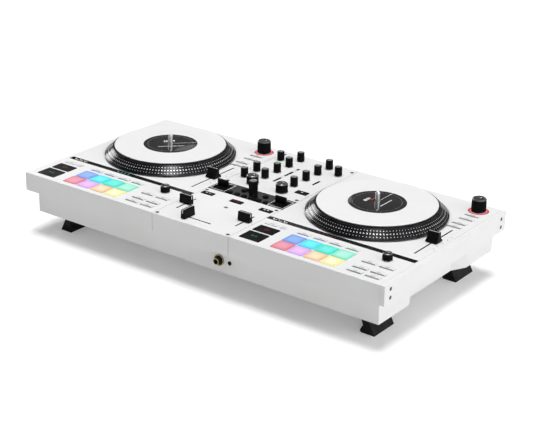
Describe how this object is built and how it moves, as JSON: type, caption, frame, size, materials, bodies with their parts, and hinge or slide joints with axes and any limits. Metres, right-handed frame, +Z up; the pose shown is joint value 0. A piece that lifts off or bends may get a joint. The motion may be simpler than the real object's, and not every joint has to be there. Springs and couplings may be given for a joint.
{
  "type": "dj controller",
  "caption": "Motorised controller for mixing music: turning platters with discs, a mixer of faders and knobs, lit pads, keys and fold-out feet under a white casing.",
  "frame": {"origin": "on the table, under the middle of the body's width and depth, level with the soles of the unfolded feet", "axes": "+X to the player's right, +Y from the player to the back, +Z up"},
  "size_m": [0.656, 0.33, 0.133],
  "materials": {
    "white_panel": "satin white paint on folded sheet",
    "white_cheek": "satin white moulding",
    "white_plastic": "fine-textured white moulding",
    "dark_gloss_panel": "gloss",
    "board": "solder mask",
    "black_steel": "blackened",
    "black_plastic": "satin",
    "black_key": "satin",
    "white_key": "satin",
    "pad_silicone": "translucent silicone, lit from below",
    "motor_can": "pressed can, mostly hollow inside",
    "grey_metal": "pressed cans, mostly hollow inside",
    "black_gloss_metal": "gloss black casting with bright dots",
    "white_vinyl": "grooved white vinyl with a grey label",
    "polished_steel": "polished",
    "black_foot": "black moulding on a rubber sole"
  },
  "bodies": {
    "chassis": {"mixer_plate": "white_panel", "effects_panel": "dark_gloss_panel", "middle_frame": "white_plastic", "bottom_tub": "white_plastic", "circuit_boards": "board", "fasteners": "black_steel", "sockets": "black_plastic", "platter_motors": "motor_can", "lit_windows": "dark_gloss_panel", "control_bodies": "grey_metal", "left_deck_plate": "white_panel", "right_deck_plate": "white_panel", "left_cheek": "white_cheek", "right_cheek": "white_cheek"},
    "left_platter": {"left_platter": "black_gloss_metal", "left_control_disc": "white_vinyl", "left_spindle": "polished_steel"},
    "left_pads": {"left_pads": "pad_silicone"},
    "left_cue_key": {"left_cue_key": "black_key"},
    "left_play_key": {"left_play_key": "black_key"},
    "left_deck_keys": {"left_deck_keys": "white_key"},
    "left_tempo_fader": {"left_tempo_fader": "black_plastic"},
    "left_line_fader": {"left_line_fader": "black_plastic"},
    "left_effects_paddle": {"left_effects_paddle": "black_plastic"},
    "left_loop_encoder": {"left_loop_encoder": "black_plastic"},
    "left_parameter_knob": {"left_parameter_knob": "black_plastic"},
    "left_front_foot": {"left_front_foot": "black_foot"},
    "left_rear_foot": {"left_rear_foot": "black_foot"},
    "right_platter": {"right_platter": "black_gloss_metal", "right_control_disc": "white_vinyl", "right_spindle": "polished_steel"},
    "right_pads": {"right_pads": "pad_silicone"},
    "right_cue_key": {"right_cue_key": "black_key"},
    "right_play_key": {"right_play_key": "black_key"},
    "right_deck_keys": {"right_deck_keys": "white_key"},
    "right_tempo_fader": {"right_tempo_fader": "black_plastic"},
    "right_line_fader": {"right_line_fader": "black_plastic"},
    "right_effects_paddle": {"right_effects_paddle": "black_plastic"},
    "right_loop_encoder": {"right_loop_encoder": "black_plastic"},
    "right_parameter_knob": {"right_parameter_knob": "black_plastic"},
    "right_front_foot": {"right_front_foot": "black_foot"},
    "right_rear_foot": {"right_rear_foot": "black_foot"},
    "left_eq_knob_1": {"left_eq_knob_1": "black_plastic"},
    "right_eq_knob_1": {"right_eq_knob_1": "black_plastic"},
    "left_eq_knob_2": {"left_eq_knob_2": "black_plastic"},
    "right_eq_knob_2": {"right_eq_knob_2": "black_plastic"},
    "left_eq_knob_3": {"left_eq_knob_3": "black_plastic"},
    "right_eq_knob_3": {"right_eq_knob_3": "black_plastic"},
    "left_eq_knob_4": {"left_eq_knob_4": "black_plastic"},
    "right_eq_knob_4": {"right_eq_knob_4": "black_plastic"},
    "master_level_knob": {"master_level_knob": "black_plastic"},
    "booth_level_knob": {"booth_level_knob": "black_plastic"},
    "phones_level_knob": {"phones_level_knob": "black_plastic"},
    "phones_mix_knob": {"phones_mix_knob": "black_plastic"},
    "left_filter_knob": {"left_filter_knob": "black_plastic"},
    "right_filter_knob": {"right_filter_knob": "black_plastic"},
    "browse_encoder": {"browse_encoder": "black_plastic"},
    "crossfader": {"crossfader": "black_plastic"},
    "mixer_keys": {"mixer_keys": "black_key"},
    "effects_keys": {"effects_keys": "black_key"}
  },
  "joints": [
    {"name": "left_platter_spin", "type": "hinge", "parent": "chassis", "child": "left_platter", "pos_m": [-0.20895, 0.0393, 0.115], "axis": [0, 0, 1], "continuous": true},
    {"name": "left_pads_press", "type": "slide", "parent": "chassis", "child": "left_pads", "axis": [0, 0, -1], "range_m": [0, 0.0012], "stiffness_N_per_m": 300, "springref_m": -0.002},
    {"name": "left_cue_key_press", "type": "slide", "parent": "chassis", "child": "left_cue_key", "axis": [0, 0, -1], "range_m": [0, 0.0012], "stiffness_N_per_m": 300, "springref_m": -0.002},
    {"name": "left_play_key_press", "type": "slide", "parent": "chassis", "child": "left_play_key", "axis": [0, 0, -1], "range_m": [0, 0.0012], "stiffness_N_per_m": 300, "springref_m": -0.002},
    {"name": "left_deck_keys_press", "type": "slide", "parent": "chassis", "child": "left_deck_keys", "axis": [0, 0, -1], "range_m": [0, 0.0012], "stiffness_N_per_m": 300, "springref_m": -0.002},
    {"name": "left_tempo_fader_slide", "type": "slide", "parent": "chassis", "child": "left_tempo_fader", "axis": [0, 1, 0], "range_m": [-0.05, 0.05]},
    {"name": "left_line_fader_slide", "type": "slide", "parent": "chassis", "child": "left_line_fader", "axis": [0, 1, 0], "range_m": [-0.0205, 0.0205]},
    {"name": "left_effects_paddle_tilt", "type": "hinge", "parent": "chassis", "child": "left_effects_paddle", "pos_m": [-0.0542, -0.0197, 0.087], "axis": [1, 0, 0], "range_deg": [-18, 18], "stiffness_Nm_per_rad": 0.06},
    {"name": "left_loop_encoder_turn", "type": "hinge", "parent": "chassis", "child": "left_loop_encoder", "pos_m": [-0.09705, 0.14, 0.099], "axis": [0, 0, 1], "continuous": true},
    {"name": "left_parameter_knob_turn", "type": "hinge", "parent": "chassis", "child": "left_parameter_knob", "pos_m": [-0.10775, -0.0915, 0.099], "axis": [0, 0, 1], "range_deg": [-140, 140]},
    {"name": "left_front_foot_fold", "type": "hinge", "parent": "chassis", "child": "left_front_foot", "pos_m": [-0.272, -0.103, 0.029], "axis": [0, -1, 0], "range_deg": [0, 92]},
    {"name": "left_rear_foot_fold", "type": "hinge", "parent": "chassis", "child": "left_rear_foot", "pos_m": [-0.272, 0.117, 0.029], "axis": [0, -1, 0], "range_deg": [0, 92]},
    {"name": "right_platter_spin", "type": "hinge", "parent": "chassis", "child": "right_platter", "pos_m": [0.18395, 0.0393, 0.115], "axis": [0, 0, 1], "continuous": true},
    {"name": "right_pads_press", "type": "slide", "parent": "chassis", "child": "right_pads", "axis": [0, 0, -1], "range_m": [0, 0.0012], "stiffness_N_per_m": 300, "springref_m": -0.002},
    {"name": "right_cue_key_press", "type": "slide", "parent": "chassis", "child": "right_cue_key", "axis": [0, 0, -1], "range_m": [0, 0.0012], "stiffness_N_per_m": 300, "springref_m": -0.002},
    {"name": "right_play_key_press", "type": "slide", "parent": "chassis", "child": "right_play_key", "axis": [0, 0, -1], "range_m": [0, 0.0012], "stiffness_N_per_m": 300, "springref_m": -0.002},
    {"name": "right_deck_keys_press", "type": "slide", "parent": "chassis", "child": "right_deck_keys", "axis": [0, 0, -1], "range_m": [0, 0.0012], "stiffness_N_per_m": 300, "springref_m": -0.002},
    {"name": "right_tempo_fader_slide", "type": "slide", "parent": "chassis", "child": "right_tempo_fader", "axis": [0, 1, 0], "range_m": [-0.05, 0.05]},
    {"name": "right_line_fader_slide", "type": "slide", "parent": "chassis", "child": "right_line_fader", "axis": [0, 1, 0], "range_m": [-0.0205, 0.0205]},
    {"name": "right_effects_paddle_tilt", "type": "hinge", "parent": "chassis", "child": "right_effects_paddle", "pos_m": [0.0542, -0.0197, 0.087], "axis": [1, 0, 0], "range_deg": [-18, 18], "stiffness_Nm_per_rad": 0.06},
    {"name": "right_loop_encoder_turn", "type": "hinge", "parent": "chassis", "child": "right_loop_encoder", "pos_m": [0.29585, 0.14, 0.099], "axis": [0, 0, 1], "continuous": true},
    {"name": "right_parameter_knob_turn", "type": "hinge", "parent": "chassis", "child": "right_parameter_knob", "pos_m": [0.28515, -0.0915, 0.099], "axis": [0, 0, 1], "range_deg": [-140, 140]},
    {"name": "right_front_foot_fold", "type": "hinge", "parent": "chassis", "child": "right_front_foot", "pos_m": [0.272, -0.103, 0.029], "axis": [0, 1, 0], "range_deg": [0, 92]},
    {"name": "right_rear_foot_fold", "type": "hinge", "parent": "chassis", "child": "right_rear_foot", "pos_m": [0.272, 0.117, 0.029], "axis": [0, 1, 0], "range_deg": [0, 92]},
    {"name": "left_eq_knob_1_turn", "type": "hinge", "parent": "chassis", "child": "left_eq_knob_1", "pos_m": [-0.0275, 0.1445, 0.099], "axis": [0, 0, 1], "range_deg": [-140, 140]},
    {"name": "right_eq_knob_1_turn", "type": "hinge", "parent": "chassis", "child": "right_eq_knob_1", "pos_m": [0.0275, 0.1445, 0.099], "axis": [0, 0, 1], "range_deg": [-140, 140]},
    {"name": "left_eq_knob_2_turn", "type": "hinge", "parent": "chassis", "child": "left_eq_knob_2", "pos_m": [-0.0275, 0.113, 0.099], "axis": [0, 0, 1], "range_deg": [-140, 140]},
    {"name": "right_eq_knob_2_turn", "type": "hinge", "parent": "chassis", "child": "right_eq_knob_2", "pos_m": [0.0275, 0.113, 0.099], "axis": [0, 0, 1], "range_deg": [-140, 140]},
    {"name": "left_eq_knob_3_turn", "type": "hinge", "parent": "chassis", "child": "left_eq_knob_3", "pos_m": [-0.0275, 0.0815, 0.099], "axis": [0, 0, 1], "range_deg": [-140, 140]},
    {"name": "right_eq_knob_3_turn", "type": "hinge", "parent": "chassis", "child": "right_eq_knob_3", "pos_m": [0.0275, 0.0815, 0.099], "axis": [0, 0, 1], "range_deg": [-140, 140]},
    {"name": "left_eq_knob_4_turn", "type": "hinge", "parent": "chassis", "child": "left_eq_knob_4", "pos_m": [-0.0275, 0.05, 0.099], "axis": [0, 0, 1], "range_deg": [-140, 140]},
    {"name": "right_eq_knob_4_turn", "type": "hinge", "parent": "chassis", "child": "right_eq_knob_4", "pos_m": [0.0275, 0.05, 0.099], "axis": [0, 0, 1], "range_deg": [-140, 140]},
    {"name": "master_level_knob_turn", "type": "hinge", "parent": "chassis", "child": "master_level_knob", "pos_m": [-0.0553, 0.12875, 0.099], "axis": [0, 0, 1], "range_deg": [-140, 140]},
    {"name": "booth_level_knob_turn", "type": "hinge", "parent": "chassis", "child": "booth_level_knob", "pos_m": [0.0553, 0.12875, 0.099], "axis": [0, 0, 1], "range_deg": [-140, 140]},
    {"name": "phones_level_knob_turn", "type": "hinge", "parent": "chassis", "child": "phones_level_knob", "pos_m": [-0.0553, 0.06575, 0.099], "axis": [0, 0, 1], "range_deg": [-140, 140]},
    {"name": "phones_mix_knob_turn", "type": "hinge", "parent": "chassis", "child": "phones_mix_knob", "pos_m": [-0.0553, 0.03425, 0.099], "axis": [0, 0, 1], "range_deg": [-140, 140]},
    {"name": "left_filter_knob_turn", "type": "hinge", "parent": "chassis", "child": "left_filter_knob", "pos_m": [-0.0275, 0.0185, 0.099], "axis": [0, 0, 1], "range_deg": [-140, 140]},
    {"name": "right_filter_knob_turn", "type": "hinge", "parent": "chassis", "child": "right_filter_knob", "pos_m": [0.0275, 0.0185, 0.099], "axis": [0, 0, 1], "range_deg": [-140, 140]},
    {"name": "browse_encoder_turn", "type": "hinge", "parent": "chassis", "child": "browse_encoder", "pos_m": [0.003, -0.0197, 0.099], "axis": [0, 0, 1], "continuous": true},
    {"name": "crossfader_slide", "type": "slide", "parent": "chassis", "child": "crossfader", "axis": [1, 0, 0], "range_m": [-0.001, 0.04]},
    {"name": "mixer_keys_press", "type": "slide", "parent": "chassis", "child": "mixer_keys", "axis": [0, 0, -1], "range_m": [0, 0.0012], "stiffness_N_per_m": 300, "springref_m": -0.002},
    {"name": "effects_keys_press", "type": "slide", "parent": "chassis", "child": "effects_keys", "axis": [0, 0, -1], "range_m": [0, 0.0012], "stiffness_N_per_m": 300, "springref_m": -0.002}
  ]
}
